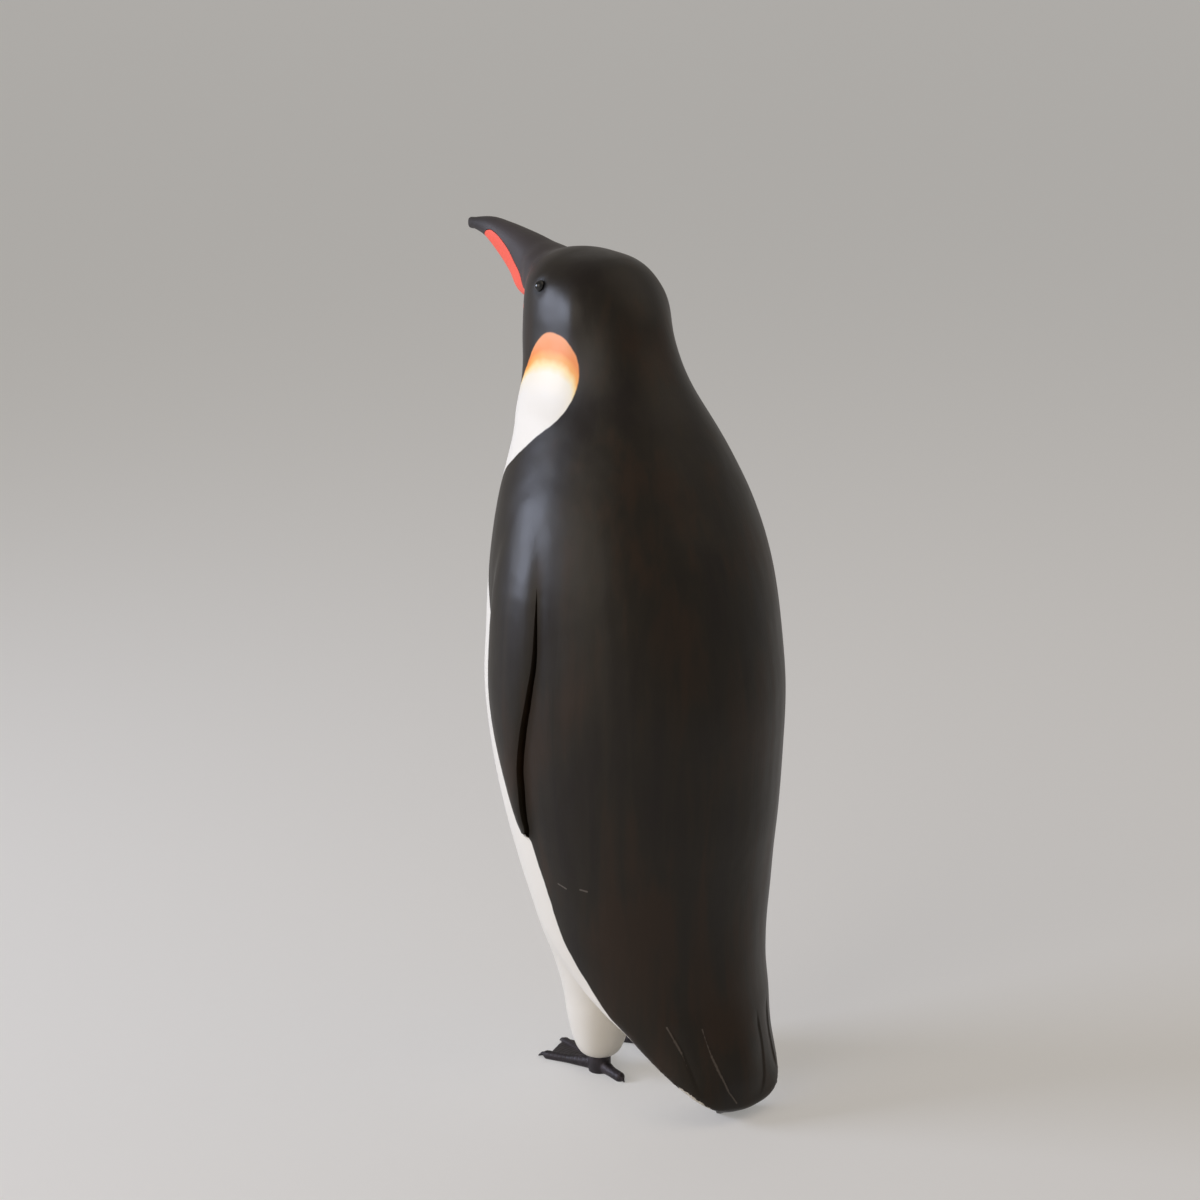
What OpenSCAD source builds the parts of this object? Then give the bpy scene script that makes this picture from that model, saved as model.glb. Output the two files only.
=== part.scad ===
// Carved and painted penguin figurine, standing on two cast feet and the tip of its tail.
// The bird faces -Y, its left side is +X, and the table is the plane z = 0.

/* [Trunk] */
// Height of the glued neck joint above the table
trunk_h = 218; // [200:1:236]
// Width of the trunk at its widest, without the flippers
trunk_w = 94; // [88:1:100]
// Reach of the belly ahead of the upright axis
belly_reach = 51; // [48:1:54]
// Reach of the back behind the upright axis
back_reach = 50; // [47:1:53]

/* [Tail] */
// Width of the tail across its two corners
tail_w = 40; // [36:1:44]
// Distance of the tail's tip behind the upright axis
tail_reach = 58; // [56:1:61]

/* [Head] */
// Height of the crown above the neck joint
head_h = 51; // [48:1:55]
// Width of the head at the cheeks
head_w = 43; // [40:1:46]
// Length of the head from nape to face
head_l = 51; // [48:1:54]
// Distance of the head's centre ahead of the upright axis
head_lead = 22; // [19:1:25]

/* [Bill] */
// Length of the bill ahead of its glue face
bill_l = 44.5; // [40:0.5:48]
// Height of the bill at its glue face
bill_h = 20; // [18:0.5:21]
// Width of the bill at its glue face
bill_w = 19; // [17:0.5:20]
// Height of the bill's middle line above the neck joint
bill_rise = 40.5; // [39:0.5:42]

/* [Eyes] */
// Diameter of a glass eye
eye_d = 3.4; // [2.6:0.2:4.4]
// Height of the eyes above the neck joint
eye_rise = 39; // [37:0.5:41]
// Part of an eye that stands out of the face
eye_show = 1.1; // [0.7:0.1:1.5]

/* [Flippers] */
// Height of a flipper's tip above the table
flipper_tip_z = 88; // [85:1:92]
// Length of a flipper
flipper_l = 108; // [102:1:112]
// Width of a flipper at its widest
flipper_w = 30; // [28:1:32]
// Height of a flipper's outer face above the side of the body
flipper_rise = 3.2; // [2.4:0.2:4]
// Depth of the flat flipper seat below the widest part of the body, at the seat's middle
seat_depth = 9; // [8:0.5:10]
// Lean of the flipper seat from the upright
seat_lean = 2.4; // [1.6:0.2:3]

/* [Legs and feet] */
// Distance of each leg from the middle plane
leg_x = 14; // [14:0.5:16]
// Distance of each leg ahead of the upright axis
leg_lead = 1; // [0:0.5:3]
// Diameter of the flat end of a leg
leg_end_d = 13; // [12:0.5:14]
// Length of the middle toe ahead of the leg, without its claw
toe_l = 23; // [20:0.5:23]
// Length of the hind toe behind the leg
hind_toe_l = 11; // [9:0.5:13]
// Angle between neighbouring toes
toe_spread = 31; // [26:1:31]
// Angle by which each foot turns inward
toe_in = 4; // [0:1:4]
// Diameter of the ankle that the leg rests on
ankle_d = 7.5; // [6.5:0.5:8.5]
// Height of the ankle, where the leg rests on the foot
ankle_h = 6.2; // [5:0.2:7]
// Thickness of the web between the toes
web_t = 1.4; // [1:0.1:2]

/* [Fixings] */
// Diameter of the neck dowel
neck_dowel_d = 12; // [10:1:14]
// Length of the neck dowel
neck_dowel_l = 50; // [40:2:56]
// Diameter of the bill dowel
bill_dowel_d = 3; // [2:0.5:4]
// Length of the bill dowel
bill_dowel_l = 18; // [15:1:20]
// Diameter of a flipper dowel
flipper_dowel_d = 5; // [4:0.5:6]
// Length of a flipper dowel
flipper_dowel_l = 20; // [16:1:24]
// Diameter of a leg pin
leg_pin_d = 3; // [2:0.5:4]
// Length of a leg pin
leg_pin_l = 30; // [24:1:34]
// Glue gap round dowels, pins and eyes
glue_gap = 0.1; // [0.05:0.05:0.2]
// Gap between a flipper's rim and the wood round it
rim_gap = 0.15; // [0.1:0.05:0.3]
// Spare depth at the bottom of each blind hole
hole_spare = 1; // [0.5:0.5:2]

/* [Hidden] */

around = 44;          // points round a ring of the trunk and head
round_fn = 48;        // fineness of round holes and dowels
toe_fn = 20;          // fineness of toes and claws
far = 200;            // longer than any piece that is cut
eps = 0.01;

black = [0.13, 0.11, 0.12];
bill_black = [0.22, 0.20, 0.20];
coral = [1.00, 0.42, 0.35];
metal = [0.20, 0.18, 0.20];
wood = [0.80, 0.66, 0.46];

// ---- Smooth curves through hand-set rows ----

// Number of the row below x, in a table ordered by its first column
function row_below(t, x, i = 0) = i >= len(t) - 2 || x <= t[i + 1][0] ? i : row_below(t, x, i + 1);
// Slope of column c at row i
function slope(t, c, i) =
    let (a = max(i - 1, 0), b = min(i + 1, len(t) - 1)) (t[b][c] - t[a][c]) / (t[b][0] - t[a][0]);
// Column c at x, on a cubic that passes through every row
function smooth(t, c, x) =
    let (
        i = row_below(t, x),
        h = t[i + 1][0] - t[i][0],
        u = (x - t[i][0]) / h,
        p = t[i][c],
        q = t[i + 1][c],
        m = slope(t, c, i) * h,
        n = slope(t, c, i + 1) * h
    )
    p + u * m + u * u * (3 * (q - p) - 2 * m - n) + u * u * u * (m + n - 2 * (q - p));
// Column c at x for a reach that rounds off to nothing, so its square is what runs smoothly
function reach(t, c, x) = sqrt(max(smooth([for (r = t) [r[0], r[c] * r[c]]], 1, x), eps));

// ---- The carved form ----

// Rows of the trunk: share of trunk_h, half width as a share of trunk_w / 2, the front, widest
// and back points as shares of belly_reach or back_reach, and the roundness of the section
trunk_rows = [
    [0.156, 0.70, -0.04, 0.48, 1.00, 1.65],
    [0.183, 0.73, -0.27, 0.36, 0.97, 1.75],
    [0.24, 0.80, -0.49, 0.20, 0.93, 1.9],
    [0.30, 0.85, -0.61, 0.14, 0.92, 2],
    [0.36, 0.895, -0.72, 0.08, 0.94, 2],
    [0.42, 0.935, -0.82, 0.04, 0.97, 2],
    [0.50, 0.975, -0.93, 0.01, 0.985, 2],
    [0.60, 1.00, -1.00, -0.02, 1.00, 2],
    [0.68, 0.99, -0.98, -0.02, 0.95, 2],
    [0.76, 0.97, -0.96, -0.03, 0.87, 2],
    [0.82, 0.93, -0.93, -0.06, 0.79, 2],
    [0.88, 0.86, -0.87, -0.12, 0.67, 2.05],
    [0.93, 0.76, -0.83, -0.18, 0.57, 2.1],
    [0.97, 0.67, -0.81, -0.24, 0.48, 2.15]
];
// Rows of the neck and head: share of head_h above the joint, half width as a share of
// head_w / 2, front, widest and back as shares of head_l / 2 from the head's centre, roundness
head_rows = [
    [0.00, 1.33, -0.78, 0.20, 1.67, 2.15],
    [0.12, 1.18, -0.81, 0.14, 1.51, 2.15],
    [0.26, 1.08, -0.85, 0.08, 1.34, 2.1],
    [0.42, 1.02, -0.91, 0.02, 1.18, 2.1],
    [0.60, 1.00, -0.92, 0.00, 1.05, 2],
    [0.74, 0.95, -0.91, -0.02, 0.89, 2],
    [0.84, 0.85, -0.88, -0.06, 0.70, 2],
    [0.92, 0.68, -0.78, -0.12, 0.46, 2],
    [0.97, 0.44, -0.60, -0.18, 0.18, 2],
    [1.00, 0.05, -0.26, -0.22, -0.18, 2]
];
// Rows of the tail: height above the table, half width as a share of tail_w / 2, how far the
// underside, edges and upper side lie ahead of tail_reach, and the roundness of the section
tail_rows = [
    [0, 0.30, 12, 9, 6.5, 2],
    [2, 0.42, 11, 5, 1.5, 1.9],
    [4, 0.56, 11, 3, 0, 1.8],
    [6.5, 0.72, 14, 3.5, 0, 1.7],
    [9, 0.87, 17, 6, 0, 1.6],
    [12, 1.00, 21, 10, 0, 1.55],
    [17, 1.17, 27, 16.5, 1, 1.5],
    [22, 1.31, 33, 22.5, 2.5, 1.5],
    [27, 1.44, 40, 27, 5, 1.55]
];

// One table for the whole figure: height, half width, reach ahead of the widest point,
// place of the widest point, reach behind it, and roundness
form = concat(
    [for (r = tail_rows)
        [r[0], r[1] * tail_w / 2, r[2] - r[3], tail_reach - r[3], r[3] - r[4], r[5]]],
    [for (r = trunk_rows)
        let (mid = r[3] * back_reach, front = r[2] * belly_reach, back = r[4] * back_reach)
        [r[0] * trunk_h, r[1] * trunk_w / 2, mid - front, mid, back - mid, r[5]]],
    [for (r = head_rows)
        let (half = head_l / 2)
        [trunk_h + r[0] * head_h, r[1] * head_w / 2, (r[3] - r[2]) * half,
            r[3] * half - head_lead, (r[4] - r[3]) * half, r[5]]]
);
function half_width(z) = reach(form, 1, z);
function ahead(z) = reach(form, 2, z);
function widest_y(z) = smooth(form, 3, z);
function behind(z) = reach(form, 4, z);
function roundness(z) = smooth(form, 5, z);

// Point at angle a on a rounded section, where roundness 2 is an ellipse and less is pointed
function lobe(v, p) = sign(v) * pow(abs(v), 2 / p);
// Closed ring of the carved form at height z
function ring(z) =
    let (w = half_width(z), f = ahead(z), m = widest_y(z), b = behind(z), p = roundness(z))
    [for (i = [0 : around - 1])
        let (a = 360 * i / around)
        [w * lobe(cos(a), p), m + (sin(a) < 0 ? f : b) * lobe(sin(a), p), z]];
// Half width of the carved form at depth y and height z
function side_x(y, z) =
    let (m = widest_y(z), p = roundness(z), r = abs(y - m) / (y < m ? ahead(z) : behind(z)))
    half_width(z) * pow(max(1 - pow(r, p), 0), 1 / p);

// Solid through a list of rings that have equally many points, with flat ends
module loft(rings) {
    n = len(rings[0]);
    last = len(rings) - 1;
    polyhedron(
        points = [for (r = rings) each r],
        faces = concat(
            [[for (i = [0 : n - 1]) i]],
            [for (k = [0 : last - 1], i = [0 : n - 1])
                let (j = (i + 1) % n) [k * n + i, (k + 1) * n + i, (k + 1) * n + j]],
            [for (k = [0 : last - 1], i = [0 : n - 1])
                let (j = (i + 1) % n) [k * n + i, (k + 1) * n + j, k * n + j]],
            [[for (i = [n - 1 : -1 : 0]) last * n + i]]
        )
    );
}

// ---- Legs ----

// Rows of a leg: height above its flat end, and radius as a share of leg_end_d / 2
leg_rows = [
    [0, 0.76],
    [1, 0.98],
    [2.5, 1.14],
    [5, 1.31],
    [9, 1.48],
    [16, 1.70],
    [22, 1.82],
    [34, 2.30],
    [48, 3.10],
    [58, 3.50]
];
leg_points = 28;
function leg_ring(h) =
    let (r = leg_end_d / 2 * smooth(leg_rows, 1, h))
    [for (i = [0 : leg_points - 1])
        let (a = 360 * i / leg_points)
        [leg_x + r * cos(a), r * sin(a) - leg_lead, ankle_h + h]];
leg_levels = [0, 0.4, 1, 1.7, 2.5, 3.5, 5, 7, 9, 12, 16, 20, 25, 30, 36, 42, 48, 53, 58];
module leg() loft([for (h = leg_levels) leg_ring(h)]);

// ---- Body ----

tail_levels = [0, 1, 2, 3.5, 5, 7.5, 10, 13, 16, 19];
even_from = 22;         // height above which the rings are evenly spaced
even_steps = 40;
trunk_levels = concat(tail_levels,
    [for (i = [0 : even_steps]) even_from + (trunk_h - even_from) * i / even_steps]);

module both_sides() {
    children();
    mirror([1, 0, 0]) children();
}

module body() color(black) difference() {
    union() {
        loft([for (z = trunk_levels) ring(z)]);
        both_sides() leg();
    }
    neck_bore();
    both_sides() {
        flipper_pocket();
        flipper_bores();
        leg_bore();
    }
}

// ---- Head ----

head_levels = [0, 0.07, 0.14, 0.21, 0.28, 0.35, 0.42, 0.49, 0.56, 0.62, 0.68, 0.74, 0.79, 0.84, 0.88,
    0.92, 0.95, 0.975, 0.99, 1.0];

// Rows of the face and bill: distance ahead of the bill's glue face, then middle height and
// half height as shares of bill_h, and half width as a share of bill_w / 2
face_rows = [
    [-22, -0.25, 0.45, 2.00],
    [-12, -0.12, 0.48, 1.74],
    [-6, -0.06, 0.485, 1.35],
    [0, -0.02, 0.48, 1.00],
    [6, 0.04, 0.50, 0.84],
    [10.5, 0.13, 0.46, 0.72],
    [14.5, 0.22, 0.41, 0.62],
    [22.5, 0.40, 0.30, 0.48],
    [31.5, 0.57, 0.18, 0.35],
    [38.5, 0.61, 0.11, 0.24],
    [42.5, 0.605, 0.045, 0.14],
    [44.5, 0.605, 0.005, 0.01]
];
face_levels = [-22, -18, -14, -11, -8, -6, -4, -2, 0];
bill_levels = [0, 1.5, 3, 4.5, 6, 8, 10, 12, 14, 16, 18, 20, 22, 24, 26, 28, 30, 32, 34, 36, 38, 40,
    41.5, 42.8, 43.8, 44.3, 44.5];
bill_end = 44.5;        // last row above, which lies at bill_l
bill_round = 2.4;       // roundness of the bill's section
bill_points = 28;
face_share = 0.461;     // glue face ahead of the head's centre, as a share of head_l
bill_root_y = -head_lead - face_share * head_l;
bill_z = trunk_h + bill_rise;
function bill_y(s) = bill_root_y - s * (s > 0 ? bill_l / bill_end : 1);
function face_ring(s) =
    let (
        mid = smooth(face_rows, 1, s) * bill_h,
        tall = reach(face_rows, 2, s) * bill_h,
        wide = reach(face_rows, 3, s) * bill_w / 2
    )
    [for (i = [0 : bill_points - 1])
        let (a = 360 * i / bill_points)
        [wide * lobe(cos(a), bill_round), bill_y(s), bill_z + mid + tall * lobe(sin(a), bill_round)]];

module face() loft([for (s = face_levels) face_ring(s)]);
module whole_bill() loft([for (s = bill_levels) face_ring(s)]);

// Line of the mouth: distance ahead of the glue face, and height above the bill's middle line
// as a share of bill_h
mouth_rows = [
    [-2, -0.475],
    [0, -0.275],
    [1.5, -0.16],
    [4, -0.035],
    [9, 0.13],
    [14, 0.29],
    [19.5, 0.44],
    [24, 0.53],
    [28, 0.56],
    [31, 0.49],
    [33, 0.35]
];
mouth_first = mouth_rows[0][0];
mouth_last = mouth_rows[len(mouth_rows) - 1][0];
module below_mouth() translate([-far / 2, 0, 0]) rotate([90, 0, 90]) linear_extrude(far)
    polygon(concat(
        [for (s = [mouth_first : 1 : mouth_last]) [bill_y(s), bill_z + smooth(mouth_rows, 1, s) * bill_h]],
        [[bill_y(mouth_last), bill_z - bill_h], [bill_y(mouth_first), bill_z - bill_h]]
    ));

module head() color(black) difference() {
    union() {
        loft([for (s = head_levels) ring(trunk_h + s * head_h)]);
        face();
    }
    neck_bore();
    bill_bore();
    both_sides() eye_ball(eye_d / 2 + glue_gap);
}

module upper_bill() color(bill_black) difference() {
    whole_bill();
    below_mouth();
    bill_bore();
}

module lower_bill() color(coral) intersection() {
    whole_bill();
    below_mouth();
}

// ---- Eyes ----

eye_lead = 2;           // distance of the eyes ahead of the head's centre
eye_z = trunk_h + eye_rise;
eye_y = -head_lead - eye_lead;
module eye_ball(r)
    translate([side_x(eye_y, eye_z) + eye_show - eye_d / 2, eye_y, eye_z]) sphere(r, $fn = round_fn);
module left_eye() color("black") eye_ball(eye_d / 2);
module right_eye() mirror([1, 0, 0]) left_eye();

// ---- Flippers ----

// Rows of a flipper's outline: share of its length from the tip, then its leading and rear
// edges as shares of its width, from the line that the tip points along
flipper_rows = [
    [0.00, -0.06, 0.05],
    [0.02, -0.09, 0.075],
    [0.06, -0.14, 0.075],
    [0.13, -0.24, 0.08],
    [0.22, -0.38, 0.09],
    [0.32, -0.51, 0.15],
    [0.42, -0.59, 0.23],
    [0.52, -0.62, 0.285],
    [0.64, -0.61, 0.285],
    [0.76, -0.56, 0.23],
    [0.87, -0.45, 0.12],
    [0.95, -0.31, -0.03],
    [1.00, -0.18, -0.13]
];
flipper_y = 0;          // depth of the line that the tip points along
flipper_levels = [0, 0.02, 0.05, 0.09, 0.13, 0.18, 0.23, 0.28, 0.33, 0.38, 0.43, 0.48, 0.54, 0.60,
    0.66, 0.72, 0.78, 0.83, 0.88, 0.92, 0.95, 0.98, 1.0];
flipper_across = 12;    // steps across the outer face
flipper_full = 3;       // fullness of the outer face toward its edges
flipper_least = 0.8;    // least thickness above the seat
flipper_mid_z = flipper_tip_z + flipper_l / 2;
seat_x = trunk_w / 2 - seat_depth;
// The outer face stands proud at the tip and sinks to the wood at the shoulder
proud_rows = [[0, 0.55], [0.05, 0.9], [0.15, 1.0], [0.5, 1.0], [0.7, 0.7], [0.85, 0.2], [0.94, 0], [1, 0]];

function flipper_z(s) = flipper_tip_z + s * flipper_l;
function lead_y(s) = flipper_y + smooth(flipper_rows, 1, s) * flipper_w;
function rear_y(s) = flipper_y + smooth(flipper_rows, 2, s) * flipper_w;
function seat_at(z) = seat_x + (flipper_mid_z - z) * tan(seat_lean);
function flipper_ring(s) =
    let (z = flipper_z(s), a = lead_y(s), b = rear_y(s), rise = flipper_rise * smooth(proud_rows, 1, s))
    concat(
        [[seat_at(z), b, z], [seat_at(z), a, z]],
        [for (i = [0 : flipper_across])
            let (
                c = -cos(180 * i / flipper_across),
                y = (a + b) / 2 + c * (b - a) / 2,
                x = side_x(y, z) + rise * sqrt(max(1 - pow(abs(c), flipper_full), 0))
            )
            [max(x, seat_at(z) + flipper_least), y, z]]
    );

module left_flipper() color(black) difference() {
    loft([for (s = flipper_levels) flipper_ring(s)]);
    flipper_bores();
}
module right_flipper() mirror([1, 0, 0]) left_flipper();

// The hollow in the side of the body that the flipper is glued into
function pocket_z(s) = (s - 0.5) * flipper_l + (s < 0.5 ? -rim_gap : rim_gap);
module flipper_pocket()
    translate([seat_x, 0, flipper_mid_z]) rotate([0, -seat_lean, 0])
        rotate([90, 0, 90]) linear_extrude(far)
            polygon(concat(
                [for (s = flipper_levels) [rear_y(s) + rim_gap, pocket_z(s)]],
                [for (i = [len(flipper_levels) - 1 : -1 : 0])
                    let (s = flipper_levels[i]) [lead_y(s) - rim_gap, pocket_z(s)]]
            ));

// Two dowels tie each flipper to the body
flipper_dowel_shares = [0.42, 0.68]; // along the flipper, from its tip
flipper_dowel_lead = 0.16;           // ahead of the tip's line, as a share of flipper_w
flipper_dowel_bite = 5;              // depth of a dowel in the flipper
module flipper_dowel_axis() for (s = flipper_dowel_shares)
    translate([seat_at(flipper_z(s)), flipper_y - flipper_dowel_lead * flipper_w, flipper_z(s)])
        rotate([0, 90, 0]) children();
module flipper_bores() flipper_dowel_axis()
    translate([0, 0, flipper_dowel_bite - flipper_dowel_l - hole_spare])
        cylinder(d = flipper_dowel_d + 2 * glue_gap, h = flipper_dowel_l + 1.5 * hole_spare, $fn = round_fn);
module left_flipper_dowels() color(wood) flipper_dowel_axis()
    translate([0, 0, flipper_dowel_bite - flipper_dowel_l])
        cylinder(d = flipper_dowel_d, h = flipper_dowel_l, $fn = round_fn);
module right_flipper_dowels() mirror([1, 0, 0]) left_flipper_dowels();

// ---- Dowels of the neck and bill ----

neck_y = widest_y(trunk_h);
module neck_bore()
    translate([0, neck_y, trunk_h - neck_dowel_l / 2 - hole_spare])
        cylinder(d = neck_dowel_d + 2 * glue_gap, h = neck_dowel_l + 2 * hole_spare, $fn = round_fn);
module neck_dowel() color(wood)
    translate([0, neck_y, trunk_h - neck_dowel_l / 2])
        cylinder(d = neck_dowel_d, h = neck_dowel_l, $fn = round_fn);

bill_dowel_rise = 4.5;  // above the bill's middle line
bill_dowel_bite = 7;    // depth of the dowel in the bill
module bill_dowel_axis()
    translate([0, bill_root_y + bill_dowel_l - bill_dowel_bite, bill_z + bill_dowel_rise])
        rotate([90, 0, 0]) children();
module bill_bore() bill_dowel_axis()
    translate([0, 0, -hole_spare])
        cylinder(d = bill_dowel_d + 2 * glue_gap, h = bill_dowel_l + 1.5 * hole_spare, $fn = round_fn);
module bill_dowel() color(wood) bill_dowel_axis()
    cylinder(d = bill_dowel_d, h = bill_dowel_l, $fn = round_fn);

// ---- Feet ----

toe_root_d = 4.6;     // thickness of a toe at the ankle
toe_end_d = 2.6;      // thickness of a toe at its end
toe_root_z = 1.6;     // height of a toe's axis at the ankle
toe_end_z = 1;        // height of a toe's axis at its end
pad_d = 3;            // round end of a toe, which the claw grows out of
claw_root_d = 1.9;
claw_tip_d = 0.8;
claw_l = 4;
claw_dip = 7;         // angle by which a claw points down
pin_floor = 0.8;      // metal left under the leg pin
toe_lengths = [0.86, 1.0, 0.86];
web_reach = 0.94;     // share of each toe that the web follows
notch_r = 0.24;       // size of the hollows in the web's front edge, as a share of toe_l
notch_reach = 1.1;    // their distance from the ankle, as a share of toe_l
below = 1;            // the foot is cut flat from a form that goes on this far below the table

module at_leg() translate([leg_x, -leg_lead, 0]) children();
// A straight round toe along -Y with its claw
module toe(l) {
    translate([0, 0, toe_root_z]) rotate([90 + atan((toe_root_z - toe_end_z) / l), 0, 0])
        cylinder(d1 = toe_root_d, d2 = toe_end_d, h = l, $fn = toe_fn);
    translate([0, -l, toe_end_z]) {
        sphere(d = pad_d, $fn = toe_fn);
        rotate([90 + claw_dip, 0, 0])
            cylinder(d1 = claw_root_d, d2 = claw_tip_d, h = claw_l, $fn = toe_fn);
    }
}
module web() translate([0, 0, -below]) linear_extrude(web_t + below)
    difference() {
        polygon(concat([[0, 0]],
            [for (i = [-1 : 1]) let (l = toe_l * toe_lengths[i + 1] * web_reach)
                [l * sin(i * toe_spread), -l * cos(i * toe_spread)]]));
        for (i = [-0.5, 0.5])
            rotate(i * toe_spread) translate([0, -toe_l * notch_reach])
                circle(toe_l * notch_r, $fn = round_fn);
    }

module left_foot() color(metal) difference() {
    intersection() {
        at_leg() rotate(-toe_in) union() {
            translate([0, 0, -below]) cylinder(d = ankle_d, h = ankle_h + 2 * below, $fn = round_fn);
            for (i = [-1 : 1]) rotate(i * toe_spread) toe(toe_l * toe_lengths[i + 1]);
            rotate(180 + toe_in) toe(hind_toe_l);
            web();
        }
        translate([-far / 2, -far / 2, 0]) cube([far, far, ankle_h]);
    }
    leg_bore();
}
module right_foot() mirror([1, 0, 0]) left_foot();

module leg_bore() at_leg() translate([0, 0, pin_floor])
    cylinder(d = leg_pin_d + 2 * glue_gap, h = leg_pin_l + hole_spare, $fn = round_fn);
module left_leg_pin() color(metal) at_leg() translate([0, 0, pin_floor])
    cylinder(d = leg_pin_d, h = leg_pin_l, $fn = round_fn);
module right_leg_pin() mirror([1, 0, 0]) left_leg_pin();

// The origin is the middle of the figure's footprint
rear_end = max([for (z = trunk_levels) widest_y(z) + behind(z)]);
y_shift = -(bill_y(bill_end) + rear_end) / 2;
module place() translate([0, y_shift, 0]) children();

place() body();
place() head();
place() neck_dowel();
place() upper_bill();
place() lower_bill();
place() bill_dowel();
place() left_eye();
place() right_eye();
place() left_flipper();
place() right_flipper();
place() left_flipper_dowels();
place() right_flipper_dowels();
place() left_foot();
place() right_foot();
place() left_leg_pin();
place() right_leg_pin();
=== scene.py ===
import math

import bpy
import numpy as np
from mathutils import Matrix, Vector
from mathutils.bvhtree import BVHTree


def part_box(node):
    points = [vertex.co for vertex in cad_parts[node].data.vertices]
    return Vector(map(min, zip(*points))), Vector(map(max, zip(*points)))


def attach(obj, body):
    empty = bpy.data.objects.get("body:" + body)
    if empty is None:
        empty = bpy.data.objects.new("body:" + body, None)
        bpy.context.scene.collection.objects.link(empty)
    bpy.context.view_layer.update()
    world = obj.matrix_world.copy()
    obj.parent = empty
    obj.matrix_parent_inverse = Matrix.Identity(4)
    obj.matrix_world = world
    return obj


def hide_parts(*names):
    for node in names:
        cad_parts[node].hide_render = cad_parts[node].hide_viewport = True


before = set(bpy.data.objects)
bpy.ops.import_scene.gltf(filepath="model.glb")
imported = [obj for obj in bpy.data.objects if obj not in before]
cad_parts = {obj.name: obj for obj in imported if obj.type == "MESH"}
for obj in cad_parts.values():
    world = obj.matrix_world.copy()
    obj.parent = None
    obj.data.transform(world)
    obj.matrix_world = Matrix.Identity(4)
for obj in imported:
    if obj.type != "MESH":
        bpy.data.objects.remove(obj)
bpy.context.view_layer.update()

# ---- Trunk, legs and tail ----
# One block of limewood, carved, sanded smooth and painted satin black and white. The two flippers
# are glued into hollows in its sides and blended in at the shoulder, and the head is glued on top,
# so the skin below is first made over all of them and then cut into its pieces.

MM = 0.001
JOINT_Z = 218 * MM          # height of the neck joint
SKIN_GRID = 1.05 * MM       # spacing of the skin's points
RELAX_STEPS = 33            # rounds of sanding that take out the facets

# Outline of a flipper: share of its length from the tip, then its leading and rear edges as
# shares of its width, from the line that the tip points along
FLIPPER_ROWS = [
    (0.00, -0.06, 0.05),
    (0.02, -0.09, 0.075),
    (0.06, -0.14, 0.075),
    (0.13, -0.24, 0.08),
    (0.22, -0.38, 0.09),
    (0.32, -0.51, 0.15),
    (0.42, -0.59, 0.23),
    (0.52, -0.62, 0.285),
    (0.64, -0.61, 0.285),
    (0.76, -0.56, 0.23),
    (0.87, -0.45, 0.12),
    (0.95, -0.31, -0.03),
    (1.00, -0.18, -0.13),
]
FLIPPER_TIP_Z = 88 * MM
FLIPPER_L = 108 * MM
FLIPPER_W = 30 * MM
FLIPPER_Y = 16 * MM
SEAT_X = 38 * MM            # flat seat of a flipper, at its middle
SEAT_LEAN = 2.4             # degrees from the upright
# Width of the carved slit along the rear edge, by share of the length from the tip
SLIT_ROWS = [(0.00, 1.0), (0.10, 1.5), (0.30, 1.7), (0.50, 1.3), (0.62, 0.9), (0.72, 0.35),
             (0.76, 0.0), (1.00, 0.0)]
FLIPPER_SIDE_X = 25 * MM    # everything further out than this, within the outline, is flipper
# How strongly the sanding takes hold: fully on the trunk, less on what the knife left crisp
FLIPPER_SANDING = 0.45
RIM_SANDING = 0.08          # at the very rim of a flipper
RIM_REACH = 4 * MM
RIM_TOP = 0.74              # share of the flipper's length up to which its rim stays crisp
LEG_SANDING = 0.12
LEG_TOP, LEG_BACK = 24 * MM, 32 * MM
TAIL_SANDING = 0.06
TAIL_CRISP_Z, TAIL_SANDED_Z = 11, 33    # heights between which the tail's sanding sets in

# Edge of the white paint seen from the side, as depth and height in millimetres, from the tip of
# the tail up the flank, under the flipper, over the shoulder and round the patch on the neck
PAINT_EDGE = [
    (57, -6), (57, 0), (57, 6), (56.8, 11), (55, 16), (51.6, 20.5), (47.3, 26.6), (43, 32), (39.8, 36),
    (34.8, 42), (30.6, 49), (26.8, 55), (24.7, 62.5), (22.7, 70), (21, 75.5), (18.6, 81.5),
    (17.6, 87), (14, 95), (9, 108), (5, 128), (1, 148), (-5, 158), (-11, 165), (-15, 172),
    (-17, 181), (-16, 190), (-12, 198.5), (-8.5, 201.5), (-4, 204.4), (-0.9, 207.1), (1.8, 209.7),
    (4.9, 212.7), (7.7, 214.9), (10.3, 217.2), (12.2, 220.3), (13.2, 224), (13.4, 228),
    (12.7, 231.7), (11.2, 235.6), (9.2, 239), (6.7, 241.7), (3.6, 243.3), (0.3, 243.9),
    (-2.7, 243.2), (-5.2, 241.6), (-7.7, 238.8), (-9.7, 235.8), (-11.3, 232.5), (-13.4, 229),
    (-16.5, 225), (-20.5, 221), (-26, 217), (-36, 212),
]
BRUSH_ROUNDS = 22           # rounds of smoothing, for an edge that a brush draws in one sweep
PAINT_FRONT = [(-80, 210), (-80, -8), (57, -8)]

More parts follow.
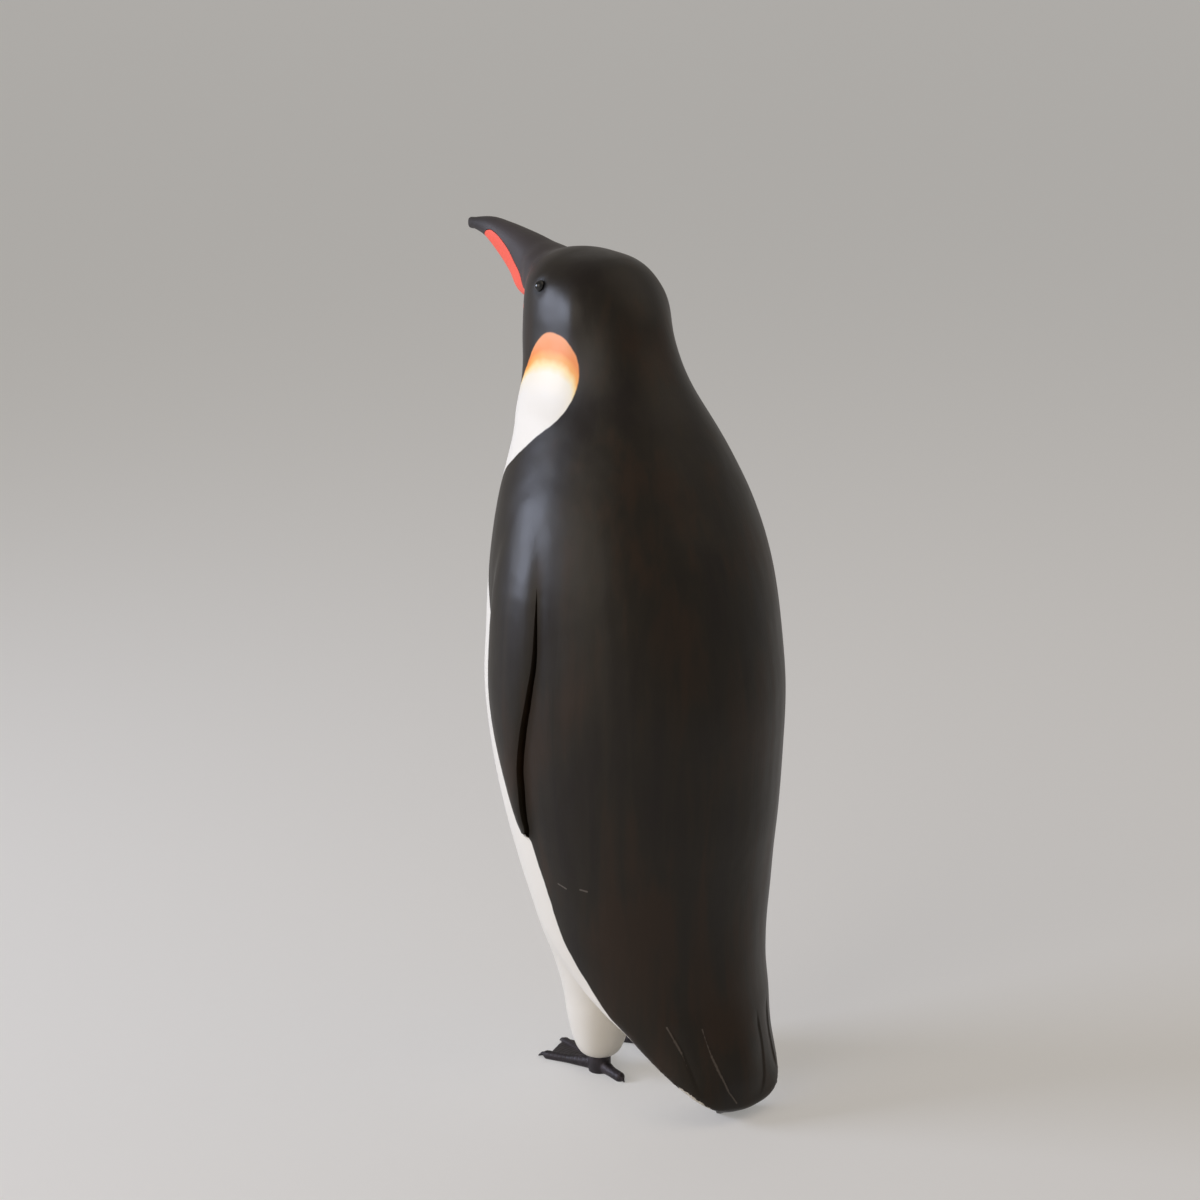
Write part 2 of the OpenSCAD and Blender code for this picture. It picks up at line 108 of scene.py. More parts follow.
# Edges of the long feathers on the tail, in millimetres, on the bird's left; the right mirrors them
TAIL_EDGES = [
    [(20.6, 58, 32), (19.3, 60.2, 27.4), (18.1, 62.2, 23.7), (17.1, 65.5, 17.1), (16.3, 68.5, 11.3)],
    [(11.4, 64, 31), (10.4, 67.7, 22.5), (9, 70.5, 16.7), (7.2, 72.8, 10.9), (4.9, 73.6, 7.1)],
]
TAIL_FINE_Z, TAIL_FINE_Y = 42 * MM, 44 * MM     # below and behind these the skin is made finer
TAIL_STEP = 0.45            # drop at the edge of a feather
TAIL_STEP_W = 0.7           # over which it drops
TAIL_STEP_REACH = 2.4       # and within about which it rises again
TAIL_LIFT = 1.4             # how far the tip lifts behind the place that it rests on
# Worn places, each a line between two points and a radius, in millimetres: two scuffs on the flank, then
# pale lines along the tail feathers' edges on the bird's lit left side, partly wear and partly painted
# highlight where the window light catches those edges
WORN_AND_LIT_LINES = [
    ((40.8, 28.2, 75), (40, 31.3, 74.1), 0.18),
    ((38.4, 36.4, 74.9), (37.4, 38.7, 74.7), 0.21),
    ((20.9, 58, 31.4), (19.5, 60.1, 27.4), 0.2),
    ((19.5, 60.1, 27.4), (18.3, 62.2, 23.7), 0.3),
    ((18.3, 62.2, 23.7), (17.2, 66, 16.5), 0.2),
    ((11.6, 64.3, 30.4), (10.6, 67.6, 22.5), 0.22),
    ((10.6, 67.6, 22.5), (9.2, 70.4, 16.7), 0.32),
    ((9.2, 70.4, 16.7), (7.4, 72.7, 10.9), 0.28),
    ((7.4, 72.7, 10.9), (5.1, 73.5, 7.1), 0.2),
]
CHIPS = [
    ((20.3, 63.6, 12.4), (18.6, 66.2, 10.4), 0.8),
    ((18.3, 66.6, 10), (16, 69.4, 7.8), 1.0),
    ((15.4, 69.8, 7.3), (13.6, 70.7, 5.6), 0.8),
]


def alone(*objects):
    """Selects these objects and nothing else, with the first one active."""
    if bpy.context.object and bpy.context.object.mode != "OBJECT":
        bpy.ops.object.mode_set(mode="OBJECT")
    bpy.ops.object.select_all(action="DESELECT")
    for o in objects:
        o.select_set(True)
    bpy.context.view_layer.objects.active = objects[0]


def apply_modifier(piece, kind, **settings):
    """Adds a modifier with these settings and applies it."""
    alone(piece)
    m = piece.modifiers.new(kind.title(), kind)
    for key, value in settings.items():
        setattr(m, key, value)
    bpy.ops.object.modifier_apply(modifier=m.name)


def solid_copy(name, *nodes):
    """The CAD solids of these nodes, merged and joined into one new piece."""
    copies = []
    for n in nodes:
        c = bpy.data.objects.new(name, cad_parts[n].data.copy())
        bpy.context.scene.collection.objects.link(c)
        copies.append(c)
    alone(*copies)
    if len(copies) > 1:
        bpy.ops.object.join()
    bpy.ops.object.mode_set(mode="EDIT")
    bpy.ops.mesh.select_all(action="SELECT")
    bpy.ops.mesh.remove_doubles(threshold=1e-6)
    bpy.ops.object.mode_set(mode="OBJECT")
    return copies[0]


def copy_of(piece, name):
    """A new piece with a mesh of its own, the same as this one's."""
    new = piece.copy()
    new.data = piece.data.copy()
    new.name = name
    bpy.context.scene.collection.objects.link(new)
    return new


def points_of(piece):
    """Places of the piece's vertices, in metres."""
    co = np.empty(len(piece.data.vertices) * 3, np.float32)
    piece.data.vertices.foreach_get("co", co)
    return co.reshape(-1, 3).astype(float)


def move_points(piece, co):
    piece.data.vertices.foreach_set("co", co.astype(np.float32).ravel())
    piece.data.update()


def normals_of(piece):
    n = np.empty(len(piece.data.vertices) * 3, np.float32)
    piece.data.vertices.foreach_get("normal", n)
    return n.reshape(-1, 3).astype(float)


def along(rows, column, x):
    """A column of listed rows at x, on a smooth cubic through every row."""
    t = np.array([r[0] for r in rows], float)
    v = np.array([r[column] for r in rows], float)
    m = np.gradient(v, t)
    x = np.clip(x, t[0], t[-1])
    i = np.clip(np.searchsorted(t, x) - 1, 0, len(t) - 2)
    h = t[i + 1] - t[i]
    u = (x - t[i]) / h
    return ((2 * u**3 - 3 * u**2 + 1) * v[i] + (u**3 - 2 * u**2 + u) * h * m[i]
            + (3 * u**2 - 2 * u**3) * v[i + 1] + (u**3 - u**2) * h * m[i + 1])


def ease(x):
    """0 below 0, 1 above 1, and smooth between."""
    x = np.clip(x, 0, 1)
    return x * x * (3 - 2 * x)


def to_left(co):
    """The same places on the bird's left side, for what both sides share."""
    return np.abs(co) * [1, 0, 0] + co * [0, 1, 1]


def smooth_line(points, steps=5):
    """More points on a smooth line through these ones."""
    p = np.array(points, float)
    out = []
    for i in range(len(p) - 1):
        a, b, c, d = p[max(i - 1, 0)], p[i], p[i + 1], p[min(i + 2, len(p) - 1)]
        for k in range(steps):
            u = k / steps
            out.append(0.5 * (2 * b + (c - a) * u + (2 * a - 5 * b + 4 * c - d) * u**2
                              + (3 * b - a - 3 * c + d) * u**3))
    out.append(p[-1])
    return np.array(out)


def line_distance(q, line):
    """Distance of each point of q to a line of straight pieces, in any number of dimensions."""
    best = np.full(len(q), 1e9)
    for a, b in zip(line[:-1], line[1:]):
        d = b - a
        t = np.clip(((q - a) @ d) / max(d @ d, 1e-12), 0, 1)
        best = np.minimum(best, np.linalg.norm(q - a - t[:, None] * d, axis=1))
    return best


def inside(q, loop):
    """Whether each flat point lies inside a closed loop."""
    found = np.zeros(len(q), bool)
    for a, b in zip(loop, np.roll(loop, -1, axis=0)):
        crosses = (a[1] > q[:, 1]) != (b[1] > q[:, 1])
        with np.errstate(divide="ignore", invalid="ignore"):
            x = (b[0] - a[0]) * (q[:, 1] - a[1]) / (b[1] - a[1]) + a[0]
        found ^= crosses & (q[:, 0] < x)
    return found


def set_attribute(piece, name, values):
    a = piece.data.attributes.get(name) or piece.data.attributes.new(name, "FLOAT", "POINT")
    a.data.foreach_set("value", np.asarray(values, np.float32))


def flipper_share(z):
    return (z - FLIPPER_TIP_Z) / FLIPPER_L


def flipper_loop(rear_inset, steps=56):
    """Outline of a flipper in depth and height, its rear edge drawn in by the slit or not."""
    s = (1 - np.cos(np.linspace(0, math.pi, steps))) / 2
    lead = FLIPPER_Y + along(FLIPPER_ROWS, 1, s) * FLIPPER_W
    rear = FLIPPER_Y + along(FLIPPER_ROWS, 2, s) * FLIPPER_W
    slit = along(SLIT_ROWS, 1, s) * MM * rear_inset
    z = FLIPPER_TIP_Z + s * FLIPPER_L
    low = z + slit[0] * np.clip(1 - s / 0.05, 0, 1)
    back = np.stack([np.maximum(rear - slit, lead + 0.5 * MM), low], 1)
    front = np.stack([lead, low], 1)
    return np.concatenate([back, front[::-1]])


def extruded(name, outline, way):
    """A block: a flat outline, given as points in space, drawn out along a vector."""
    bpy.ops.object.select_all(action="DESELECT")
    bpy.ops.mesh.primitive_circle_add(vertices=len(outline), radius=1, fill_type="NGON")
    piece = bpy.context.object
    piece.name = name
    move_points(piece, outline)
    bpy.ops.object.mode_set(mode="EDIT")
    bpy.ops.mesh.select_all(action="SELECT")
    bpy.ops.mesh.extrude_region_move(TRANSFORM_OT_translate={"value": way})
    bpy.ops.mesh.select_all(action="SELECT")
    bpy.ops.mesh.normals_make_consistent(inside=False)
    bpy.ops.object.mode_set(mode="OBJECT")
    return piece


PRISM_L = 80 * MM           # far enough to reach through the flipper


def prism(name, loop, side):
    """A block over an outline, from the flat flipper seat outward on one side."""
    lean = math.tan(math.radians(SEAT_LEAN))
    x = side * (SEAT_X + (FLIPPER_TIP_Z + FLIPPER_L / 2 - loop[:, 1]) * lean)
    return extruded(name, np.column_stack([x, loop]), (side * PRISM_L, 0, 0))


def cut(piece, tool, operation):
    apply_modifier(piece, "BOOLEAN", operation=operation, object=tool, solver="EXACT")


def drop(*objects):
    for o in objects:
        bpy.data.meshes.remove(o.data)


def keep_outer(piece):
    """Deletes the closed hollows inside a skin, and keeps its largest shell."""
    alone(piece)
    bpy.ops.object.mode_set(mode="EDIT")
    bpy.ops.mesh.select_all(action="SELECT")
    bpy.ops.mesh.separate(type="LOOSE")
    bpy.ops.object.mode_set(mode="OBJECT")
    parts = sorted(bpy.context.selected_objects, key=lambda o: -len(o.data.vertices))
    if len(parts) > 1:
        drop(*parts[1:])
    return parts[0]


def refine(piece, chosen):
    """Splits the faces whose corners are all chosen into four."""
    mesh = piece.data
    alone(piece)
    bpy.context.tool_settings.mesh_select_mode = (False, False, True)
    bpy.ops.object.mode_set(mode="EDIT")
    bpy.ops.mesh.select_all(action="DESELECT")
    bpy.ops.object.mode_set(mode="OBJECT")
    for p in mesh.polygons:
        p.select = all(chosen[i] for i in p.vertices)
    bpy.ops.object.mode_set(mode="EDIT")
    bpy.ops.mesh.subdivide(number_cuts=1, quadcorner="STRAIGHT_CUT")
    bpy.ops.object.mode_set(mode="OBJECT")


def skin_over(name, grid, *nodes):
    """One closed skin over the solids of these nodes."""
    piece = solid_copy(name, *nodes)
    apply_modifier(piece, "REMESH", mode="VOXEL", voxel_size=grid, adaptivity=0)
    piece = keep_outer(piece)
    piece.name = name
    return piece


def relax(piece, weight, steps):
    """Sands a skin smooth, as strongly as the weight at each point says."""
    group = piece.vertex_groups.new(name="relax")
    levels = np.round(np.clip(weight, 0, 1) * 20).astype(int)
    for level in range(1, 21):
        which = np.nonzero(levels == level)[0]
        if len(which):
            group.add(which.tolist(), level / 20, "REPLACE")
    apply_modifier(piece, "SMOOTH", factor=0.5, iterations=steps, vertex_group="relax")
    piece.vertex_groups.clear()


CUT_EPS = 1e-7              # how close to a cut a point may lie before it counts as on it


def slice_at(piece, point, normal):
    """Cuts away what lies on the normal's side of a plane, and closes the cut."""
    alone(piece)
    bpy.ops.object.mode_set(mode="EDIT")
    bpy.ops.mesh.select_all(action="SELECT")
    bpy.ops.mesh.bisect(plane_co=point, plane_no=normal, use_fill=True, clear_outer=True,
                        threshold=CUT_EPS)
    bpy.ops.object.mode_set(mode="OBJECT")


SLIVER = 0.03 * MM**2       # faces smaller than this are slivers of a cut
SKIN_DEPTH = 0.3 * MM       # a point no deeper than this under the skin counts as on it


def skin_shading(piece, skin, cap_angle=40):
    """Shades the outer faces as one with the whole skin, so that a filled joint doesn't show."""
    mesh = piece.data
    tree = BVHTree.FromObject(skin, bpy.context.evaluated_depsgraph_get())
    skin_points, skin_normals = points_of(skin), normals_of(skin)
    polygons = [list(p.vertices) for p in skin.data.polygons]
    soft = np.zeros((len(mesh.vertices), 3))
    depth = np.zeros(len(mesh.vertices))
    for v in mesh.vertices:
        place, normal, index, distance = tree.find_nearest(v.co)
        corners = polygons[index]
        w = 1 / (np.linalg.norm(skin_points[corners] - np.array(place), axis=1) + 1e-7) ** 2
        n = (skin_normals[corners] * w[:, None]).sum(0)
        soft[v.index] = n / np.linalg.norm(n)
        depth[v.index] = distance
    loops = np.zeros((len(mesh.loops), 3))
    for p in mesh.polygons:
        flat = np.array(p.normal)
        outer = all(depth[i] < SKIN_DEPTH for i in p.vertices)
        for k in p.loop_indices:
            i = mesh.loops[k].vertex_index
            near = outer and (p.area < SLIVER or soft[i] @ flat > math.cos(math.radians(cap_angle)))
            loops[k] = soft[i] if near else flat
    alone(piece)
    bpy.ops.object.shade_smooth()
    mesh.normals_split_custom_set([tuple(n) for n in loops])
    return depth


BARE_DEPTH = 0.4 * MM       # deeper than this under the skin, no white paint gets to
BARE = 9                    # a distance well outside the white


def paint_zones(piece, depth=None):
    """Distance to the edge of the white paint, in millimetres: less than 0 is white."""
    co = points_of(piece) / MM
    edge = smooth_line(PAINT_EDGE)
    for _ in range(BRUSH_ROUNDS):
        edge[1:-1] = (edge[:-2] + 2 * edge[1:-1] + edge[2:]) / 4
    loop = np.concatenate([edge, np.array(PAINT_FRONT, float)])
    q = co[:, 1:]
    d = line_distance(q, edge)
    d = np.where(inside(q, loop), -d, d)
    if depth is not None:
        d = np.where(depth > BARE_DEPTH, BARE, d)
    set_attribute(piece, "paint_edge", d)


carved = skin_over("carved_skin", SKIN_GRID, "body", "left_flipper", "right_flipper", "head",
                   "neck_dowel", "left_flipper_dowels", "right_flipper_dowels", "left_leg_pin",
                   "right_leg_pin")
co = points_of(carved)
side_view = np.stack([co[:, 1], co[:, 2]], 1)
outboard = np.abs(co[:, 0]) > FLIPPER_SIDE_X
rim = np.where(outboard, line_distance(side_view, flipper_loop(0)), 1)
weight = np.where(outboard & inside(side_view, flipper_loop(0)), FLIPPER_SANDING, 1.0)
crisp = (rim < RIM_REACH) & (flipper_share(co[:, 2]) < RIM_TOP)
weight = np.where(crisp, RIM_SANDING + 0.5 * np.clip(rim / (2 * RIM_REACH), 0, 1), weight)
sanded = ease((co[:, 2] / MM - TAIL_CRISP_Z) / (TAIL_SANDED_Z - TAIL_CRISP_Z))
weight *= TAIL_SANDING + (1 - TAIL_SANDING) * sanded
weight = np.where((co[:, 2] < LEG_TOP) & (co[:, 1] < LEG_BACK), LEG_SANDING, weight)
relax(carved, weight, RELAX_STEPS)

# long tail feathers carved on the upper side: each drops a little at its edge and rises again
refine(carved, (co[:, 2] < TAIL_FINE_Z) & (co[:, 1] > TAIL_FINE_Y))
co, n = points_of(carved) / MM, normals_of(carved)
mirrored = to_left(co)
for edge_line in TAIL_EDGES:
    line = smooth_line(edge_line)
    d = line_distance(mirrored, line)
    upward = line[::-1]
    inward = np.interp(co[:, 2], upward[:, 2], upward[:, 0]) - mirrored[:, 0]
    s = np.where(inward > 0, d, -d)
    ends = ease((co[:, 2] - line[-1][2] + 1) / 5) * ease((line[0][2] + 1 - co[:, 2]) / 6)
    rise = np.exp(-np.maximum(s, 0) / TAIL_STEP_REACH)
    step = -TAIL_STEP * ease((s + TAIL_STEP_W / 2) / TAIL_STEP_W) * rise * ends
    co += n * (step * (n[:, 1] + n[:, 2] > 0))[:, None]
# the tip lifts a little behind the place that it rests on
co[:, 2] += TAIL_LIFT * ease((co[:, 1] - 63) / 6) * ease((9 - co[:, 2]) / 8)
move_points(carved, co * MM)

trunk = copy_of(carved, "trunk")
slice_at(trunk, (0, 0, JOINT_Z), (0, 0, 1))
for side in (1, -1):
    tool = prism("pocket", flipper_loop(0), side)
    cut(trunk, tool, "DIFFERENCE")
    drop(tool)
trunk_depth = skin_shading(trunk, carved)
paint_zones(trunk, trunk_depth)


def to_linear(colour):
    """Linear colour of an sRGB hex value."""
    c = [int(colour[i:i + 2], 16) / 255 for i in (1, 3, 5)]
    return [v / 12.92 if v <= 0.04045 else ((v + 0.055) / 1.055) ** 2.4 for v in c] + [1.0]


def add(tree, kind, settings=None, inputs=None, output=0, stops=()):
    """An output of a new node, whose inputs are set to values or linked to other outputs. The stops
    of a colour ramp are pairs of a position and an sRGB colour."""
    node = tree.nodes.new(kind)
    for key, value in (settings or {}).items():
        setattr(node, key, value)
    for key, value in (inputs or {}).items():
        if isinstance(value, bpy.types.NodeSocket):
            tree.links.new(value, node.inputs[key])
        else:
            node.inputs[key].default_value = value
    for at, _ in stops[1:-1]:
        node.color_ramp.elements.new(at)
    for i, (at, colour) in enumerate(stops):
        node.color_ramp.elements[i].position = at
        node.color_ramp.elements[i].color = to_linear(colour)
    return node.outputs[output]


def scale_of(*sizes):
    """Scale of a pattern whose marks are this long in x, y and z, in millimetres."""
    return [1 / (size * MM) for size in sizes]


def new_material(name):
    """An empty material: its tree, its output node, and Object coordinates."""
    m = bpy.data.materials.new(name)
    m.use_nodes = True
    tree = m.node_tree
    tree.nodes.clear()
    out = tree.nodes.new("ShaderNodeOutputMaterial")
    return m, tree, out, add(tree, "ShaderNodeTexCoord", output="Object")


def stroke(tree, place, start, end, radius, ragged, soft):
    """1 within a radius of a line between two points, given in millimetres, with a ragged edge."""
    a, b = np.array(start) * MM, np.array(end) * MM
    d = add(tree, "ShaderNodeVectorMath", {"operation": "SUBTRACT"}, {0: place, 1: a})
    share = add(tree, "ShaderNodeVectorMath", {"operation": "DOT_PRODUCT"},
                {0: d, 1: (b - a) / ((b - a) @ (b - a))}, "Value")
    share = add(tree, "ShaderNodeClamp", {}, {"Value": share})
    nearest = add(tree, "ShaderNodeVectorMath", {"operation": "MULTIPLY_ADD"}, {0: share, 1: b - a, 2: a})
    gap = add(tree, "ShaderNodeVectorMath", {"operation": "DISTANCE"}, {0: place, 1: nearest}, "Value")
    reach = add(tree, "ShaderNodeMath", {"operation": "MULTIPLY_ADD"},
                {0: ragged, 1: -1.6 * radius * MM, 2: gap})
    return add(tree, "ShaderNodeMapRange", {},
               {"Value": reach, "From Min": soft * radius * MM, "From Max": -0.05 * radius * MM})


def marks(tree, place, lines, ragged, soft):
    """The strokes along all these lines as one mask."""
    mask = None
    for start, end, radius in lines:
        mark = stroke(tree, place, start, end, radius, ragged, soft)
        mask = mark if mask is None else add(tree, "ShaderNodeMath", {"operation": "MAXIMUM"},
                                             {0: mask, 1: mark})
    return mask


LAID_OVER = {"data_type": "RGBA"}       # a Mix node that lays one colour over another
SOFT_STEP = {"interpolation_type": "SMOOTHSTEP"}
FACE_GREY = "#3b3536"
CORAL = "#f4614d"
EYE_PLACE = tuple((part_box("left_eye")[0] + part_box("left_eye")[1]) / 2)
# painted shade round each eye's socket, in near-black paint
SOCKET_SHADE_RING = (2.4 * MM, 3.6 * MM)         # the black round an eye: full up to here, gone from there


def satin_paint(name, zoned):
    """Satin acrylic over sanded and primed limewood, laid on with a soft brush along the bird.
    The eye sees soft broad highlights, faint brush lines, and small nicks where the wood shows."""
    m, t, out, place = new_material(name)
    # brush lines, drawn a little coarser than bristles so that they show
    bristles = add(t, "ShaderNodeMapping", {}, {"Vector": place, "Scale": scale_of(0.625, 0.625, 25)})
    strokes = add(t, "ShaderNodeTexNoise", {}, {"Vector": bristles, "Scale": 1.0, "Detail": 3.0})
    # streaks of thinner and thicker paint, each as wide as the brush and as long as one pull of it
    pulls = add(t, "ShaderNodeMapping", {}, {"Vector": place, "Scale": scale_of(5.88, 5.88, 62.5)})
    streaks = add(t, "ShaderNodeTexNoise", {},
                  {"Vector": pulls, "Scale": 1.0, "Detail": 3.0, "Distortion": 0.4})
    # uneven cover, soft flats that the tools left under the paint, and the grain of the dried film
    cover = add(t, "ShaderNodeTexNoise", {}, {"Vector": place, "Scale": 1 / (41.7 * MM), "Detail": 2.0})
    flats = add(t, "ShaderNodeTexNoise", {}, {"Vector": place, "Scale": 1 / (9.1 * MM), "Detail": 1.0})
    grain = add(t, "ShaderNodeTexNoise", {}, {"Vector": place, "Scale": 1 / (0.385 * MM), "Detail": 2.0})
    tone = add(t, "ShaderNodeMath", {"operation": "MULTIPLY_ADD"}, {0: streaks, 1: 0.9, 2: -0.45})
    tone = add(t, "ShaderNodeMath", {"operation": "ADD"}, {0: tone, 1: cover})
    colour = add(t, "ShaderNodeValToRGB", {}, {0: tone}, "Color",
                 [(0.30, "#140b04"), (0.52, "#1b1409"), (0.72, "#27190b")])
    if zoned:
        edge = add(t, "ShaderNodeAttribute", {"attribute_name": "paint_edge"}, {}, "Fac")
        wobble = add(t, "ShaderNodeTexNoise", {}, {"Vector": place, "Scale": 1 / (6.25 * MM), "Detail": 2.0})
        ragged = add(t, "ShaderNodeTexNoise", {}, {"Vector": place, "Scale": 1 / (1.11 * MM), "Detail": 2.0})
        drift = add(t, "ShaderNodeMapRange", {}, {"Value": wobble, "To Min": -0.5, "To Max": 0.5})
        edge = add(t, "ShaderNodeMath", {"operation": "ADD"}, {0: edge, 1: drift})
        white = add(t, "ShaderNodeMapRange", SOFT_STEP, {"Value": edge, "From Min": 0.28, "From Max": -0.28})
        # the black turns to the dark grey of the bill between the eyes and the bill
        depth = add(t, "ShaderNodeSeparateXYZ", {}, {0: place}, "Y")
        ahead = add(t, "ShaderNodeMapRange", SOFT_STEP,
                    {"Value": depth, "From Min": -8 * MM, "From Max": -28 * MM})
        colour = add(t, "ShaderNodeMix", LAID_OVER,
                     {"Factor": ahead, "A": colour, "B": to_linear(FACE_GREY)}, "Result")
        # a near-black ring round each eye: painted shade that darkens the shallow socket
        across = add(t, "ShaderNodeVectorMath", {"operation": "ABSOLUTE"}, {0: place})
        across = add(t, "ShaderNodeVectorMath", {"operation": "MULTIPLY"}, {0: across, 1: (1, 0, 0)})
        on_left = add(t, "ShaderNodeVectorMath", {"operation": "MULTIPLY_ADD"},
                      {0: place, 1: (0, 1, 1), 2: across})
        away = add(t, "ShaderNodeVectorMath", {"operation": "DISTANCE"}, {0: on_left, 1: EYE_PLACE}, "Value")
        socket_shade = add(t, "ShaderNodeMapRange", SOFT_STEP,
                   {"Value": away, "From Min": SOCKET_SHADE_RING[1], "From Max": SOCKET_SHADE_RING[0]})
        colour = add(t, "ShaderNodeMix", LAID_OVER,
                     {"Factor": socket_shade, "A": colour, "B": to_linear("#0d0a09")}, "Result")
        # neck patch: orange at the top and along its edges, then yellow, then warm white
        height = add(t, "ShaderNodeSeparateXYZ", {}, {0: place}, "Z")
        rim_glow = add(t, "ShaderNodeMath", {"operation": "MULTIPLY"}, {0: edge, 1: 0.33})
        rim_glow = add(t, "ShaderNodeMath", {"operation": "EXPONENT"}, {0: rim_glow})
        rim_glow = add(t, "ShaderNodeMath", {"operation": "MULTIPLY"}, {0: rim_glow, 1: 8 * MM})
        level = add(t, "ShaderNodeMath", {"operation": "ADD"}, {0: height, 1: rim_glow})
        level = add(t, "ShaderNodeMath", {"operation": "MULTIPLY_ADD"}, {0: wobble, 1: 4 * MM, 2: level})
        level = add(t, "ShaderNodeMapRange", {},
                    {"Value": level, "From Min": 226 * MM, "From Max": 250 * MM})
        patch = add(t, "ShaderNodeValToRGB", {}, {0: level}, "Color",
                    [(0.00, "#f3eee3"), (0.30, "#f6edd8"), (0.42, "#fde0a0"), (0.52, "#fbb058"),
                     (0.68, "#f5934b"), (1.00, "#f9a671")])
        colour = add(t, "ShaderNodeMix", LAID_OVER, {"Factor": white, "A": colour, "B": patch}, "Result")
        # the corner of the mouth, where the coral of the lower bill runs out on the face
        coral = add(t, "ShaderNodeAttribute", {"attribute_name": "coral"}, {}, "Fac")
        coral = add(t, "ShaderNodeMapRange", SOFT_STEP, {"Value": coral, "From Min": 0.1, "From Max": 0.5})
        colour = add(t, "ShaderNodeMix", LAID_OVER,
                     {"Factor": coral, "A": colour, "B": to_linear(CORAL)}, "Result")
        # wear and painted highlight: pale lines along the tail feathers' edges on the lit left side, rubbed
        # and painted as highlight, two scuffs on the flank, and chips on the rim
        worn_and_lit = add(t, "ShaderNodeMath", {"operation": "MULTIPLY"},
                     {0: marks(t, place, WORN_AND_LIT_LINES, ragged, 1.0), 1: 0.37})
        colour = add(t, "ShaderNodeMix", LAID_OVER,
                     {"Factor": worn_and_lit, "A": colour, "B": to_linear("#8a8078")}, "Result")
        chipped = marks(t, place, CHIPS, ragged, 0.25)
        colour = add(t, "ShaderNodeMix", LAID_OVER,
                     {"Factor": chipped, "A": colour, "B": to_linear("#ddd6c8")}, "Result")
    rough = add(t, "ShaderNodeMapRange", {}, {"Value": streaks, "To Min": 0.33, "To Max": 0.48})
    lift = add(t, "ShaderNodeMath", {"operation": "MULTIPLY_ADD"}, {0: flats, 1: 9.0, 2: strokes})
    lift = add(t, "ShaderNodeMath", {"operation": "MULTIPLY_ADD"}, {0: grain, 1: 0.25, 2: lift})
    bump = add(t, "ShaderNodeBump", {}, {"Height": lift, "Strength": 0.35, "Distance": 0.06 * MM})
    shader = add(t, "ShaderNodeBsdfPrincipled", {}, {
        "Base Color": colour, "Roughness": rough, "Normal": bump, "IOR": 1.5,
        "Specular IOR Level": 0.33})
    t.links.new(shader, out.inputs["Surface"])
    return m


def dress(piece, material, slot_name, *nodes):
    """Gives a piece its finish and its place in the object."""
    piece.data.materials.clear()
    piece.data.materials.append(material)
    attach(piece, "root")
    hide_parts(*nodes)


painted_limewood = satin_paint("painted_limewood", True)
dress(trunk, painted_limewood, "feather_paint", "body")

# ---- Flippers ----
# Two carved limewood flippers with a flat seat, glued into hollows in the trunk's sides. The
# shoulder is filled and painted over; the rear edge stands free behind a narrow dark slit.

black_limewood = satin_paint("black_painted_limewood", False)
for side, name in ((1, "left_flipper"), (-1, "right_flipper")):
    tool = prism("flipper_block", flipper_loop(1), side)
    flipper = copy_of(carved, name + "_carved")
    cut(flipper, tool, "INTERSECT")
    drop(tool)
    skin_shading(flipper, carved)
    dress(flipper, black_limewood, "feather_paint", name)

# ---- Head ----
# A second block of limewood, carved as neck and head in one, glued and dowelled to the trunk. The
# joint is filled and painted over, and the bill grows out of the face without a step.

HEAD_GRID = 0.55 * MM
HEAD_RELAX_STEPS = 120
HEAD_SKIN_Z = 196 * MM      # the head's skin starts this far up, well below the joint
FACE_SANDING = 0.5          # how strongly the sanding takes hold on the face
BILL_SANDING = 0.12         # and its share of that on the thin end of the bill
EYE_R = 1.85 * MM
BILL_ROOT_Y = -29.5 * MM
# Crease between the forehead and the bill, which is filled and sanded out, in millimetres
BROW = [(9.2, -29, 262), (10.4, -28.5, 259.5), (11.2, -28, 256.5)]
BROW_FILL, BROW_REACH = 0.7, 3.5
# Carver's touches on the round form, as depth and height, reach both ways, and how far they go
CROWN_DROP = 1.1            # flat behind the bill
NAPE_RISE = 1.3             # and fuller at the back of the crown
CHEEK = ((9, 252), (4.6, 10.5), 1.9)
JAW = ((-35, 253), (11, 7), 1.5)
SOCKET_DEPTH, SOCKET_REACH = 1.15, 2.5
FOLLOW_FROM, FOLLOW_TO = 229, 220   # heights over which the head's skin turns into the trunk's
# Coral paint on the corner of the mouth, as depth and height in millimetres
GAPE = [(-33, 256.6), (-29.5, 254.2), (-26.2, 253), (-23, 251.8), (-20.3, 250.2), (-18, 248.4),
        (-24, 248.9), (-29.5, 249.7), (-33, 249.9)]
TIP_ROUND = 1.7             # reach of the rounding on the tip of the bill


def swell(y, z, form):
    """Height of a soft swelling, from its middle, its reach both ways and its rise."""
    (y0, z0), (reach_y, reach_z), rise = form
    return rise * np.exp(-((y - y0) / reach_y) ** 2 - ((z - z0) / reach_z) ** 2)


face = skin_over("head_skin", HEAD_GRID, "head", "body", "upper_bill", "lower_bill", "neck_dowel",
                 "bill_dowel", "left_eye", "right_eye")
slice_at(face, (0, 0, HEAD_SKIN_Z), (0, 0, -1))
co = points_of(face)
neck = ease((236 - co[:, 2] / MM) / 12)
bill_root = np.exp(-((co[:, 1] / MM + 29) / 6) ** 2)
weight = FACE_SANDING + (1 - FACE_SANDING) * np.maximum(neck, bill_root)
weight *= 1 - (1 - BILL_SANDING) * ease((-33 - co[:, 1] / MM) / 9)
relax(face, weight, HEAD_RELAX_STEPS)

